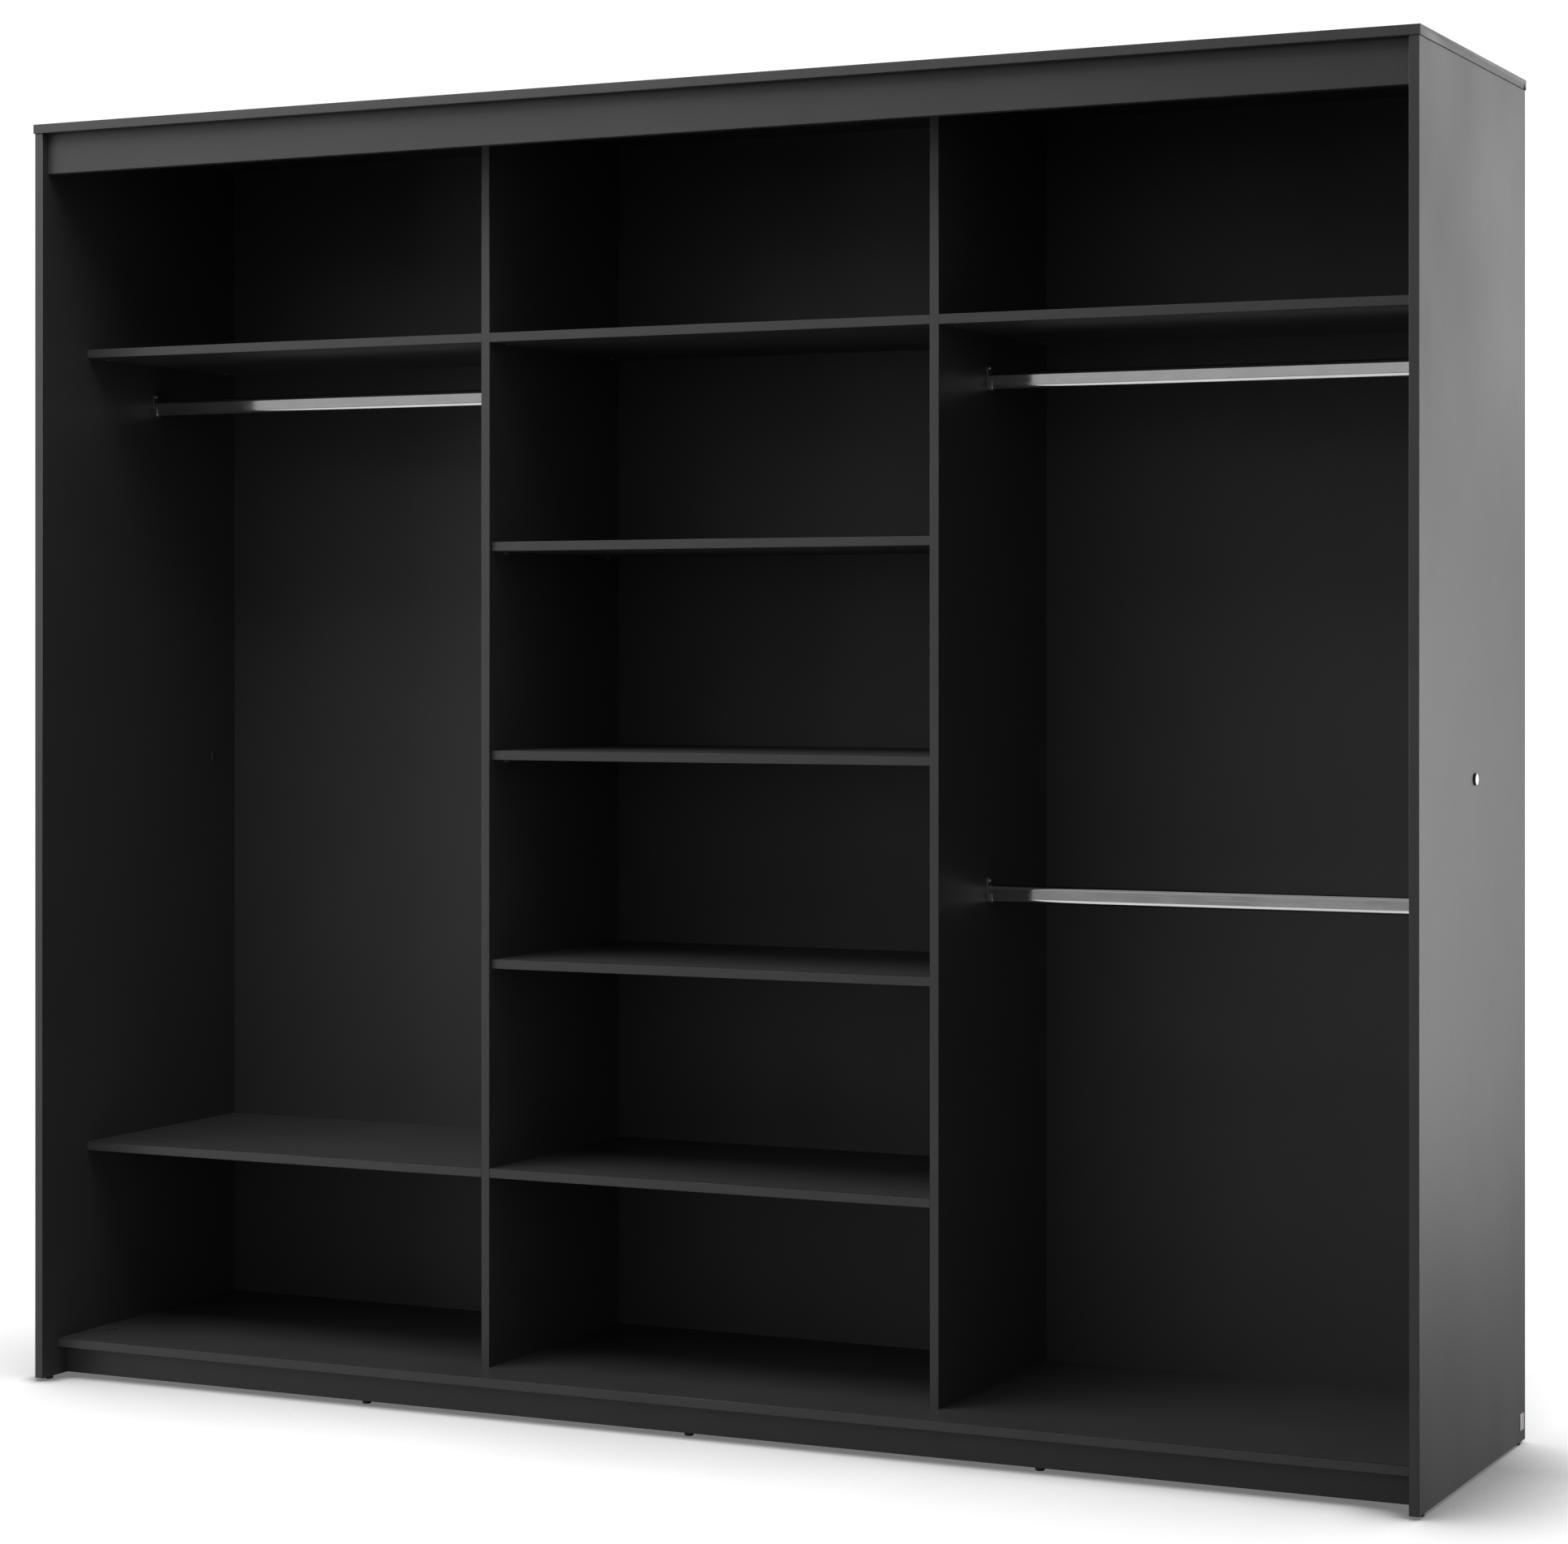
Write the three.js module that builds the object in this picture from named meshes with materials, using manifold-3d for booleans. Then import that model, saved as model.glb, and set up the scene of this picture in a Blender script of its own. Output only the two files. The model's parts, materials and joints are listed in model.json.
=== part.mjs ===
// Wide three-bay wardrobe carcass for sliding doors, standing open with no doors hung.
// Millimetres, +Z up, front towards -Y. The origin is on the floor, in the middle of the overall box.
import * as THREE from 'three';
import { mergeVertices } from 'three/addons/utils/BufferGeometryUtils.js';
import Module from 'manifold-3d';

const wasm = await Module();
wasm.setup();

// ---- Driving dimensions ----

const WIDTH = 2500;               // over the ends of the top panel
const DEPTH = 620;
const HEIGHT = 2208;              // floor to the top face
const BOARD = 16;                 // thickness of every structural board
const EDGE_RADIUS = 1;            // rounding of the banded front edges
const EDGE_STEPS = 3;

const TOP_OVERHANG = 2;           // top panel past the sides, at both ends and at the front
const FASCIA_SETBACK = 16;        // all setbacks are measured from the front edges of the sides
const FASCIA_HEIGHT = 70;
const DIVIDER_SETBACK = 133;      // room for two doors that pass each other
const BASE_SETBACK = 46;
const PLINTH_SETBACK = 73;
const PLINTH_HEIGHT = 48;
const CENTRE_BAY_WIDTH = 811;

const BOTTOM_SPACE = 321;         // base panel to the underside of the lowest shelves
const SHELF_PITCH = 354;          // one shelf level to the next
const SHELF_STEPS = 4;            // steps from the lowest shelf level to the highest
const LOOSE_SHELF_SETBACK = 8;    // behind the front edges of the dividers
const LOOSE_SHELF_SIDE_GAP = 0.5;
const LOOSE_SHELF_BACK_GAP = 2;

const BACK_INSET = 16;            // rear edges of the sides to the inner face of the back
const BACK_THICKNESS = 3;
const GROOVE_WIDTH = 3.5;
const GROOVE_DEPTH = 8;
const SHEET_EDGE_GAP = 0.5;       // sheet edge to the floor of its groove

const JOINT_WEB = 1;              // T-section strips that join the back sheets
const JOINT_FLANGE = 20;
const JOINT_FLANGE_THICKNESS = 1;

const RAIL_WIDTH = 15;            // oval tube, taller than it is wide
const RAIL_HEIGHT = 30;
const RAIL_WALL = 1;
const RAIL_Y = 34;
const RAIL_ARC_STEPS = 12;
const UPPER_RAIL_DROP = 78.5;     // highest shelf's underside to the middle of the rail
const LOWER_RAIL_DROP = 845;      // upper rail to lower rail

const SUPPORT_PLATE = 2.5;        // end supports of the rails
const SUPPORT_WALL = 2;
const SUPPORT_REACH = 10;
const SUPPORT_LUG_WIDTH = 15;
const SUPPORT_LUG_RISE = 29.5;    // middle of the rail to the top of the screw lug
const SUPPORT_SHOULDER = 8;
const SUPPORT_SCREW_RADIUS = 2;
const SUPPORT_GAP = 0.3;
const RAIL_END_GAP = 0.5;

const PIN_RADIUS = 2.5;           // shelf pins, pushed into blind holes in the dividers
const PIN_HOLE_RADIUS = 2.8;
const PIN_HOLE_DEPTH = 9;
const PIN_SHANK = 8;
const PIN_SIDES = 16;
const PIN_TAB_REACH = 8;
const PIN_TAB_WIDTH = 10;
const PIN_TAB_THICKNESS = 3;
const PIN_TAB_GAP = 0.5;          // divider to the tab
const PIN_EDGE_DISTANCE = 45;     // shelf edge to the nearest pin
const PIN_REST_GAP = 0.25;

const TRACK_FRONT_Y = -270;       // double top track, behind the fascia
const TRACK_WIDTH = 84;
const TRACK_DROP = 37;
const TRACK_WALL = 2;

const GLIDE_RADIUS = 7.5;
const GLIDE_HEIGHT = 5;
const GLIDE_CHAMFER = 1;
const GLIDE_SIDES = 24;
const GLIDE_EDGE_DISTANCE = 30;   // side panel's edge to the middle of its glide
const BEARER_SPACING = 616;       // cross bearers under the base panel, with glides in line

const CAP_RADIUS = 9.5;           // round caps on the outer faces of the sides
const CAP_FACE_RADIUS = 8;
const CAP_HEIGHT = 4;
const CAP_Y = 1;
const CAP_Z = 1084;
const CAP_SIDES = 32;

const TAG_SIZE = [1.5, 23, 26];   // small blank metal plate, low on the right side
const TAG_Y = 286;
const TAG_Z = 37;

// ---- Levels and planes worked out from them ----

const SIDE_OUTER_X = WIDTH / 2 - TOP_OVERHANG;
const SIDE_INNER_X = SIDE_OUTER_X - BOARD;
const TOP_FRONT_Y = -DEPTH / 2;
const SIDE_FRONT_Y = TOP_FRONT_Y + TOP_OVERHANG;
const REAR_Y = DEPTH / 2;
const BACK_Y = REAR_Y - BACK_INSET;
const TOP_UNDERSIDE = HEIGHT - BOARD;
const BASE_UNDERSIDE = GLIDE_HEIGHT + PLINTH_HEIGHT;
const BASE_TOP = BASE_UNDERSIDE + BOARD;
const DIVIDER_X = CENTRE_BAY_WIDTH / 2 + BOARD / 2;
const DIVIDER_FRONT_Y = SIDE_FRONT_Y + DIVIDER_SETBACK;
const LOOSE_SHELF_FRONT_Y = DIVIDER_FRONT_Y + LOOSE_SHELF_SETBACK;
const LOOSE_SHELF_REAR_Y = BACK_Y - LOOSE_SHELF_BACK_GAP;
const LOWEST_SHELF = BASE_TOP + BOTTOM_SPACE;
const HIGHEST_SHELF = LOWEST_SHELF + SHELF_STEPS * SHELF_PITCH;
const UPPER_RAIL_Z = HIGHEST_SHELF - UPPER_RAIL_DROP;
const LOWER_RAIL_Z = UPPER_RAIL_Z - LOWER_RAIL_DROP;
const LEFT_BAY = [-SIDE_INNER_X, -DIVIDER_X - BOARD / 2];
const CENTRE_BAY = [-DIVIDER_X + BOARD / 2, DIVIDER_X - BOARD / 2];
const RIGHT_BAY = [DIVIDER_X + BOARD / 2, SIDE_INNER_X];

// ---- Materials ----

const GRAPHITE = 0x3b3c3e;
const BLACK = 0x161616;

const boardFinish = () => new THREE.MeshStandardMaterial({ color: GRAPHITE, roughness: 0.55, metalness: 0 });
const sheetFinish = () => new THREE.MeshStandardMaterial({ color: 0x343537, roughness: 0.65, metalness: 0 });
const chromeFinish = () => new THREE.MeshStandardMaterial({ color: 0xd2d4d6, roughness: 0.12, metalness: 1 });
const zincFinish = () => new THREE.MeshStandardMaterial({ color: 0x9a9b9c, roughness: 0.35, metalness: 1 });
const aluminiumFinish = () => new THREE.MeshStandardMaterial({ color: 0xa9abad, roughness: 0.4, metalness: 1 });
const plasticFinish = () => new THREE.MeshStandardMaterial({ color: BLACK, roughness: 0.6, metalness: 0 });

// ---- Helpers ----

const wardrobe = new THREE.Group();

function addPiece(name, geometry, material, x = 0, y = 0, z = 0) {
  const mesh = new THREE.Mesh(geometry, material);
  mesh.name = name;
  mesh.position.set(x, y, z);
  wardrobe.add(mesh);
  return mesh;
}

// Turns a geometry so that its own x, y and z lie along the three given directions.
// The directions hold only 0, 1 and -1, so flat faces stay exactly flat.
function reorient(geometry, xAxis, yAxis, zAxis) {
  const basis = new THREE.Matrix4().makeBasis(
    new THREE.Vector3(...xAxis),
    new THREE.Vector3(...yAxis),
    new THREE.Vector3(...zAxis),
  );
  return geometry.applyMatrix4(basis);
}

function extrude(shape, length) {
  return new THREE.ExtrudeGeometry(shape, { depth: length, bevelEnabled: false, curveSegments: EDGE_STEPS });
}

// A shape drawn in (Y, Z) and run along X from fromX.
function extrudeAlongX(shape, fromX, toX) {
  const geometry = reorient(extrude(shape, toX - fromX), [0, 1, 0], [0, 0, 1], [1, 0, 0]);
  return geometry.translate(fromX, 0, 0);
}

// A shape drawn in (X, Y) and run up Z from fromZ.
function extrudeAlongZ(shape, fromZ, toZ) {
  return extrude(shape, toZ - fromZ).translate(0, 0, fromZ);
}

// A box given by its lowest and highest corners.
function boxBetween(low, high) {
  const size = high.map((value, i) => value - low[i]);
  const middle = high.map((value, i) => (value + low[i]) / 2);
  return new THREE.BoxGeometry(...size).translate(...middle);
}

// A closed outline through corners; a corner that states a radius is rounded to it.
function outline(corners) {
  const shape = new THREE.Shape();
  corners.forEach(([u, v, radius = 0], i) => {
    const before = corners[(i + corners.length - 1) % corners.length];
    const after = corners[(i + 1) % corners.length];
    const start = stepTowards([u, v], before, radius);
    const end = stepTowards([u, v], after, radius);
    if (i === 0) {
      shape.moveTo(...start);
    } else {
      shape.lineTo(...start);
    }
    if (radius > 0) {
      shape.quadraticCurveTo(u, v, ...end);
    }
  });
  shape.closePath();
  return shape;
}

function stepTowards([u, v], [toU, toV], distance) {
  const length = Math.hypot(toU - u, toV - v);
  const share = distance / length;
  return [u + (toU - u) * share, v + (toV - v) * share];
}

function toSolid(geometry) {
  const bare = geometry.clone();
  bare.deleteAttribute('normal');
  bare.deleteAttribute('uv');
  const merged = mergeVertices(bare);
  return new wasm.Manifold(new wasm.Mesh({
    numProp: 3,
    vertProperties: merged.attributes.position.array,
    triVerts: new Uint32Array(merged.index.array),
  }));
}

function toGeometry(solid) {
  const mesh = solid.getMesh();
  const geometry = new THREE.BufferGeometry();
  geometry.setAttribute('position', new THREE.BufferAttribute(mesh.vertProperties, mesh.numProp));
  geometry.setIndex(new THREE.BufferAttribute(mesh.triVerts, 1));
  geometry.computeVertexNormals();
  return geometry;
}

// ---- Boards ----

// Upright side: a groove near the rear edge takes the back sheet. sign is -1 on the left.
function addSidePanel(name, sign) {
  const outer = sign * SIDE_OUTER_X;
  const inner = sign * SIDE_INNER_X;
  const grooveFloor = inner + sign * GROOVE_DEPTH;
  const corners = [
    [outer, SIDE_FRONT_Y, EDGE_RADIUS],
    [inner, SIDE_FRONT_Y, EDGE_RADIUS],
    [inner, BACK_Y],
    [grooveFloor, BACK_Y],
    [grooveFloor, BACK_Y + GROOVE_WIDTH],
    [inner, BACK_Y + GROOVE_WIDTH],
    [inner, REAR_Y],
    [outer, REAR_Y],
  ];
  addPiece(name, extrudeAlongZ(outline(corners), GLIDE_HEIGHT, TOP_UNDERSIDE), boardFinish());
}

function addTopPanel() {
  const corners = [
    [TOP_FRONT_Y, TOP_UNDERSIDE, EDGE_RADIUS],
    [BACK_Y, TOP_UNDERSIDE],
    [BACK_Y, TOP_UNDERSIDE + GROOVE_DEPTH],
    [BACK_Y + GROOVE_WIDTH, TOP_UNDERSIDE + GROOVE_DEPTH],
    [BACK_Y + GROOVE_WIDTH, TOP_UNDERSIDE],
    [REAR_Y, TOP_UNDERSIDE],
    [REAR_Y, HEIGHT],
    [TOP_FRONT_Y, HEIGHT, EDGE_RADIUS],
  ];
  addPiece('top_panel', extrudeAlongX(outline(corners), -WIDTH / 2, WIDTH / 2), boardFinish());
}

function addBasePanel() {
  const front = SIDE_FRONT_Y + BASE_SETBACK;
  const corners = [
    [front, BASE_UNDERSIDE, EDGE_RADIUS],
    [REAR_Y, BASE_UNDERSIDE],
    [REAR_Y, BASE_TOP],
    [BACK_Y + GROOVE_WIDTH, BASE_TOP],
    [BACK_Y + GROOVE_WIDTH, BASE_TOP - GROOVE_DEPTH],
    [BACK_Y, BASE_TOP - GROOVE_DEPTH],
    [BACK_Y, BASE_TOP],
    [front, BASE_TOP, EDGE_RADIUS],
  ];
  addPiece('base_panel', extrudeAlongX(outline(corners), -SIDE_INNER_X, SIDE_INNER_X), boardFinish());
}

// A board that runs across between two faces, with its front edge rounded above and below.
function addCrossBoard(name, [fromX, toX], [frontY, rearY], [lowZ, highZ]) {
  const corners = [
    [frontY, lowZ, EDGE_RADIUS],
    [rearY, lowZ],
    [rearY, highZ],
    [frontY, highZ, EDGE_RADIUS],
  ];
  addPiece(name, extrudeAlongX(outline(corners), fromX, toX), boardFinish());
}

function addFixedShelf(name, bay, underside) {
  addCrossBoard(name, bay, [DIVIDER_FRONT_Y, BACK_Y], [underside, underside + BOARD]);
}

function addLooseShelf(name, underside) {
  const [from, to] = CENTRE_BAY;
  const span = [from + LOOSE_SHELF_SIDE_GAP, to - LOOSE_SHELF_SIDE_GAP];
  addCrossBoard(name, span, [LOOSE_SHELF_FRONT_Y, LOOSE_SHELF_REAR_Y], [underside, underside + BOARD]);
}

function addPlinthAndBearers() {
  const frontY = SIDE_FRONT_Y + PLINTH_SETBACK;
  const span = [-SIDE_INNER_X, SIDE_INNER_X];
  const levels = [GLIDE_HEIGHT, BASE_UNDERSIDE];
  addCrossBoard('plinth_front', span, [frontY, frontY + BOARD], levels);
  addCrossBoard('plinth_rear', span, [BACK_Y - BOARD, BACK_Y], levels);
  [['left', -1], ['centre', 0], ['right', 1]].forEach(([label, step]) => {
    const x = step * BEARER_SPACING;
    const low = [x - BOARD / 2, frontY + BOARD, GLIDE_HEIGHT];
    const high = [x + BOARD / 2, BACK_Y - BOARD, BASE_UNDERSIDE];
    addPiece(`base_bearer_${label}`, boxBetween(low, high), boardFinish());
  });
}

// ---- Back sheets and the strips that join them ----

function addBack() {
  const low = BASE_TOP - GROOVE_DEPTH + SHEET_EDGE_GAP;
  const high = TOP_UNDERSIDE + GROOVE_DEPTH - SHEET_EDGE_GAP;
  const outerEdge = SIDE_INNER_X + GROOVE_DEPTH - SHEET_EDGE_GAP;
  const jointEdge = JOINT_WEB / 2 + SHEET_EDGE_GAP;
  const sheets = {
    left: [-outerEdge, -DIVIDER_X - jointEdge],
    centre: [-DIVIDER_X + jointEdge, DIVIDER_X - jointEdge],
    right: [DIVIDER_X + jointEdge, outerEdge],
  };
  for (const [label, [fromX, toX]] of Object.entries(sheets)) {
    const sheet = boxBetween([fromX, BACK_Y, low], [toX, BACK_Y + BACK_THICKNESS, high]);
    addPiece(`back_panel_${label}`, sheet, sheetFinish());
  }
}

function addJointStrip(name, x) {
  const web = JOINT_WEB / 2;
  const flange = JOINT_FLANGE / 2;
  const sheetRear = BACK_Y + BACK_THICKNESS;
  const corners = [
    [x - web, BACK_Y],
    [x + web, BACK_Y],
    [x + web, sheetRear],
    [x + flange, sheetRear],
    [x + flange, sheetRear + JOINT_FLANGE_THICKNESS],
    [x - flange, sheetRear + JOINT_FLANGE_THICKNESS],
    [x - flange, sheetRear],
    [x - web, sheetRear],
  ];
  addPiece(name, extrudeAlongZ(outline(corners), BASE_TOP, TOP_UNDERSIDE), plasticFinish());
}

// ---- Shelf pins and the drilled dividers ----

// The pins of one divider: two for each loose shelf, on the face towards the centre bay.
function pinPlaces(undersides) {
  const fronts = [LOOSE_SHELF_FRONT_Y + PIN_EDGE_DISTANCE, LOOSE_SHELF_REAR_Y - PIN_EDGE_DISTANCE];
  return undersides.flatMap((underside) => fronts.map((y) => [y, underside - PIN_REST_GAP - PIN_RADIUS]));
}

// A round bar along X, centred on the origin.
function barAlongX(radius, length, sides) {
  return reorient(new THREE.CylinderGeometry(radius, radius, length, sides), [0, 0, 1], [1, 0, 0], [0, 1, 0]);
}

// Upright divider; inward is the direction of the centre bay, +1 or -1.
function addDivider(name, x, inward, places) {
  const corners = [
    [x - BOARD / 2, DIVIDER_FRONT_Y, EDGE_RADIUS],
    [x + BOARD / 2, DIVIDER_FRONT_Y, EDGE_RADIUS],
    [x + BOARD / 2, BACK_Y],
    [x - BOARD / 2, BACK_Y],
  ];
  let solid = toSolid(extrudeAlongZ(outline(corners), BASE_TOP, TOP_UNDERSIDE));
  const face = x + inward * BOARD / 2;
  for (const [y, z] of places) {
    const drill = barAlongX(PIN_HOLE_RADIUS, 2 * PIN_HOLE_DEPTH, PIN_SIDES).translate(face, y, z);
    solid = solid.subtract(toSolid(drill));
  }
  addPiece(name, toGeometry(solid), boardFinish());
}

// Round shank in the divider, with a flat tab under the shelf.
function addShelfPin(name, faceX, inward, y, z) {
  const length = PIN_SHANK + PIN_TAB_REACH;
  const middle = faceX + inward * (PIN_TAB_REACH - PIN_SHANK) / 2;
  const shank = barAlongX(PIN_RADIUS, length, PIN_SIDES).translate(middle, y, z);
  const reach = [faceX + inward * PIN_TAB_GAP, faceX + inward * PIN_TAB_REACH].sort((a, b) => a - b);
  const tabTop = z + PIN_RADIUS;
  const tab = boxBetween(
    [reach[0], y - PIN_TAB_WIDTH / 2, tabTop - PIN_TAB_THICKNESS],
    [reach[1], y + PIN_TAB_WIDTH / 2, tabTop],
  );
  addPiece(name, toGeometry(toSolid(shank).add(toSolid(tab))), zincFinish());
}

// ---- Garment rails and their end supports ----

// Oval outline in (Y, Z), centred on the origin.
function ovalPath(Kind, width, height) {
  const radius = width / 2;
  const straight = height / 2 - radius;
  const path = new Kind();
  path.moveTo(radius, -straight);
  path.lineTo(radius, straight);
  path.absarc(0, straight, radius, 0, Math.PI, false);
  path.lineTo(-radius, -straight);
  path.absarc(0, -straight, radius, Math.PI, 2 * Math.PI, false);
  return path;
}

function addRail(name, [fromX, toX], z) {
  const section = ovalPath(THREE.Shape, RAIL_WIDTH, RAIL_HEIGHT);
  section.holes.push(ovalPath(THREE.Path, RAIL_WIDTH - 2 * RAIL_WALL, RAIL_HEIGHT - 2 * RAIL_WALL));
  const inset = SUPPORT_PLATE + RAIL_END_GAP;
  const length = toX - fromX - 2 * inset;
  const tube = new THREE.ExtrudeGeometry(section, {
    depth: length,
    bevelEnabled: false,
    curveSegments: RAIL_ARC_STEPS,
  });
  reorient(tube, [0, 1, 0], [0, 0, 1], [1, 0, 0]);
  addPiece(name, tube, chromeFinish(), fromX + inset, RAIL_Y, z);
}

// Flat plate with a screw lug above, and a U-shaped saddle that holds the rail from below.
function supportGeometry() {
  const innerHalf = RAIL_WIDTH / 2 + SUPPORT_GAP;
  const outerHalf = innerHalf + SUPPORT_WALL;
  const bend = RAIL_HEIGHT / 2 - RAIL_WIDTH / 2;
  const lugHalf = SUPPORT_LUG_WIDTH / 2;
  const lugBend = SUPPORT_LUG_RISE - lugHalf;

  const plate = new THREE.Shape();
  plate.moveTo(outerHalf, 0);
  plate.lineTo(lugHalf, SUPPORT_SHOULDER);
  plate.lineTo(lugHalf, lugBend);
  plate.absarc(0, lugBend, lugHalf, 0, Math.PI, false);
  plate.lineTo(-lugHalf, SUPPORT_SHOULDER);
  plate.lineTo(-outerHalf, 0);
  plate.lineTo(-outerHalf, -bend);
  plate.absarc(0, -bend, outerHalf, Math.PI, 2 * Math.PI, false);
  plate.closePath();
  const screwHole = new THREE.Path();
  screwHole.absarc(0, lugBend, SUPPORT_SCREW_RADIUS, 0, 2 * Math.PI, true);
  plate.holes.push(screwHole);

  const saddle = new THREE.Shape();
  saddle.moveTo(-outerHalf, 0);
  saddle.lineTo(-outerHalf, -bend);
  saddle.absarc(0, -bend, outerHalf, Math.PI, 2 * Math.PI, false);
  saddle.lineTo(outerHalf, 0);
  saddle.lineTo(innerHalf, 0);
  saddle.lineTo(innerHalf, -bend);
  saddle.absarc(0, -bend, innerHalf, 2 * Math.PI, Math.PI, true);
  saddle.lineTo(-innerHalf, 0);
  saddle.closePath();

  const solids = [[plate, SUPPORT_PLATE], [saddle, SUPPORT_REACH]].map(([shape, depth]) => {
    const settings = { depth, bevelEnabled: false, curveSegments: RAIL_ARC_STEPS };
    const geometry = new THREE.ExtrudeGeometry(shape, settings);
    return toSolid(reorient(geometry, [0, 1, 0], [0, 0, 1], [1, 0, 0]));
  });
  return toGeometry(solids[0].add(solids[1]));
}

function addRailWithSupports(label, bay, z) {
  addRail(`garment_rail_${label}`, bay, z);
  addPiece(`rail_support_${label}_a`, supportGeometry(), zincFinish(), bay[0], RAIL_Y, z);
  const facing = reorient(supportGeometry(), [-1, 0, 0], [0, -1, 0], [0, 0, 1]);
  addPiece(`rail_support_${label}_b`, facing, zincFinish(), bay[1], RAIL_Y, z);
}

// ---- Top track ----

// Aluminium section with two channels that open downwards.
function addTopTrack() {
  const top = TOP_UNDERSIDE;
  const foot = top - TRACK_DROP;
  const ceiling = top - TRACK_WALL;
  const front = TRACK_FRONT_Y;
  const rear = front + TRACK_WIDTH;
  const middle = (front + rear) / 2;
  const half = TRACK_WALL / 2;
  const corners = [
    [front, top],
    [front, foot],
    [front + TRACK_WALL, foot],
    [front + TRACK_WALL, ceiling],
    [middle - half, ceiling],
    [middle - half, foot],
    [middle + half, foot],
    [middle + half, ceiling],
    [rear - TRACK_WALL, ceiling],
    [rear - TRACK_WALL, foot],
    [rear, foot],
    [rear, top],
  ];
  addPiece('door_top_track', extrudeAlongX(outline(corners), -SIDE_INNER_X, SIDE_INNER_X), aluminiumFinish());
}

// ---- Glides, caps and tag ----

function addGlide(name, x, y) {
  const profile = [
    new THREE.Vector2(0, 0),
    new THREE.Vector2(GLIDE_RADIUS - GLIDE_CHAMFER, 0),
    new THREE.Vector2(GLIDE_RADIUS, GLIDE_CHAMFER),
    new THREE.Vector2(GLIDE_RADIUS, GLIDE_HEIGHT),
    new THREE.Vector2(0, GLIDE_HEIGHT),
  ];
  const glide = new THREE.LatheGeometry(profile, GLIDE_SIDES);
  addPiece(name, reorient(glide, [1, 0, 0], [0, 0, 1], [0, -1, 0]), plasticFinish(), x, y, 0);
}

function addGlides() {
  const sideMiddle = SIDE_OUTER_X - BOARD / 2;
  const ends = {
    front: SIDE_FRONT_Y + GLIDE_EDGE_DISTANCE,
    rear: REAR_Y - GLIDE_EDGE_DISTANCE,
  };
  for (const [end, y] of Object.entries(ends)) {
    addGlide(`side_glide_left_${end}`, -sideMiddle, y);
    addGlide(`side_glide_right_${end}`, sideMiddle, y);
  }
  const plinths = {
    front: SIDE_FRONT_Y + PLINTH_SETBACK + BOARD / 2,
    rear: BACK_Y - BOARD / 2,
  };
  for (const [end, y] of Object.entries(plinths)) {
    addGlide(`plinth_glide_${end}_left`, -BEARER_SPACING, y);
    addGlide(`plinth_glide_${end}_centre`, 0, y);
    addGlide(`plinth_glide_${end}_right`, BEARER_SPACING, y);
  }
}

// Low round cap on the outer face of a side; sign is -1 on the left.
function addSideCap(name, sign) {
  const profile = [
    new THREE.Vector2(0, 0),
    new THREE.Vector2(CAP_RADIUS, 0),
    new THREE.Vector2(CAP_RADIUS, CAP_HEIGHT / 2),
    new THREE.Vector2(CAP_FACE_RADIUS, CAP_HEIGHT),
    new THREE.Vector2(0, CAP_HEIGHT),
  ];
  const cap = new THREE.LatheGeometry(profile, CAP_SIDES);
  reorient(cap, [0, sign, 0], [sign, 0, 0], [0, 0, -1]);
  addPiece(name, cap, plasticFinish(), sign * SIDE_OUTER_X, CAP_Y, CAP_Z);
}

function addTag() {
  const middleX = SIDE_OUTER_X + TAG_SIZE[0] / 2;
  addPiece('side_tag_plate', new THREE.BoxGeometry(...TAG_SIZE), zincFinish(), middleX, TAG_Y, TAG_Z);
}

// ---- Assembly ----

const shelfLevel = (step) => LOWEST_SHELF + step * SHELF_PITCH;

addSidePanel('left_side_panel', -1);
addSidePanel('right_side_panel', 1);
addTopPanel();
addBasePanel();

const fasciaY = SIDE_FRONT_Y + FASCIA_SETBACK;
const fasciaLevels = [TOP_UNDERSIDE - FASCIA_HEIGHT, TOP_UNDERSIDE];
addCrossBoard('top_fascia', [-SIDE_INNER_X, SIDE_INNER_X], [fasciaY, fasciaY + BOARD], fasciaLevels);
addPlinthAndBearers();

const looseShelves = { upper: shelfLevel(3), middle: shelfLevel(2), lower: shelfLevel(1) };
const places = pinPlaces(Object.values(looseShelves));
addDivider('left_divider', -DIVIDER_X, 1, places);
addDivider('right_divider', DIVIDER_X, -1, places);

addFixedShelf('left_top_shelf', LEFT_BAY, HIGHEST_SHELF);
addFixedShelf('left_bottom_shelf', LEFT_BAY, LOWEST_SHELF);
addFixedShelf('centre_top_shelf', CENTRE_BAY, HIGHEST_SHELF);
addFixedShelf('centre_bottom_shelf', CENTRE_BAY, LOWEST_SHELF);
addFixedShelf('right_top_shelf', RIGHT_BAY, HIGHEST_SHELF);

for (const [label, underside] of Object.entries(looseShelves)) {
  addLooseShelf(`loose_shelf_${label}`, underside);
  pinPlaces([underside]).forEach(([y, z], i) => {
    const end = ['front', 'rear'][i];
    addShelfPin(`shelf_pin_${label}_left_${end}`, CENTRE_BAY[0], 1, y, z);
    addShelfPin(`shelf_pin_${label}_right_${end}`, CENTRE_BAY[1], -1, y, z);
  });
}

addBack();
addJointStrip('back_joint_strip_left', -DIVIDER_X);
addJointStrip('back_joint_strip_right', DIVIDER_X);

addRailWithSupports('left', LEFT_BAY, UPPER_RAIL_Z);
addRailWithSupports('right_upper', RIGHT_BAY, UPPER_RAIL_Z);
addRailWithSupports('right_lower', RIGHT_BAY, LOWER_RAIL_Z);

addTopTrack();
addGlides();
addSideCap('side_cap_left', -1);
addSideCap('side_cap_right', 1);
addTag();

export default wardrobe;
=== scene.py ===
"""Looks for the sliding door wardrobe: boards, rails, fittings, floor, light and camera."""

import json
import math

import bmesh
import bpy
from mathutils import Matrix, Vector

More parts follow.
